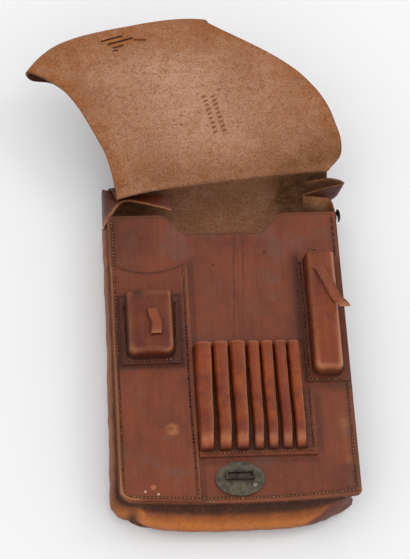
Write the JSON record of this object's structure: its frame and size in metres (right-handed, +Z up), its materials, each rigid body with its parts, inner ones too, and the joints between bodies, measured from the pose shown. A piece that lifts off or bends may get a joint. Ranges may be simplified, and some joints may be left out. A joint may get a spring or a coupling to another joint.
{
  "type": "leather map case lying open",
  "caption": "Leather map case on its back with its flap thrown open, a row of pen channels, a long pocket, moulded pouches and an oval lock plate on its front.",
  "frame": {"origin": "on the floor, in the middle of the back panel that the case lies on", "axes": "+X across the case to its right side as seen from the front, +Y up the case towards the opened flap, +Z up from the floor"},
  "size_m": [0.3269, 0.5366, 0.1064],
  "materials": {
    "bridle_leather": "worn red-brown grain leather with a low sheen",
    "moulded_leather": "moulded leather, rubbed lighter on its ridges",
    "suede": "matt flesh side of the leather, light brown and mottled",
    "tarnished_brass": "dull grey-green patina",
    "dark_iron": "dark, almost matt"
  },
  "bodies": {
    "root": {"back_and_flap": "suede", "gusset": "bridle_leather", "front_panel": "bridle_leather", "ear_left": "bridle_leather", "ear_right": "bridle_leather", "left_pocket": "bridle_leather", "small_pouch": "moulded_leather", "small_pouch_tab": "moulded_leather", "pen_loops": "moulded_leather", "right_pouch": "moulded_leather", "right_pouch_strap": "moulded_leather", "lock_plate": "tarnished_brass", "lock_mouth": "tarnished_brass", "lock_rivet": "tarnished_brass", "back_hook": "dark_iron"}
  },
  "joints": []
}
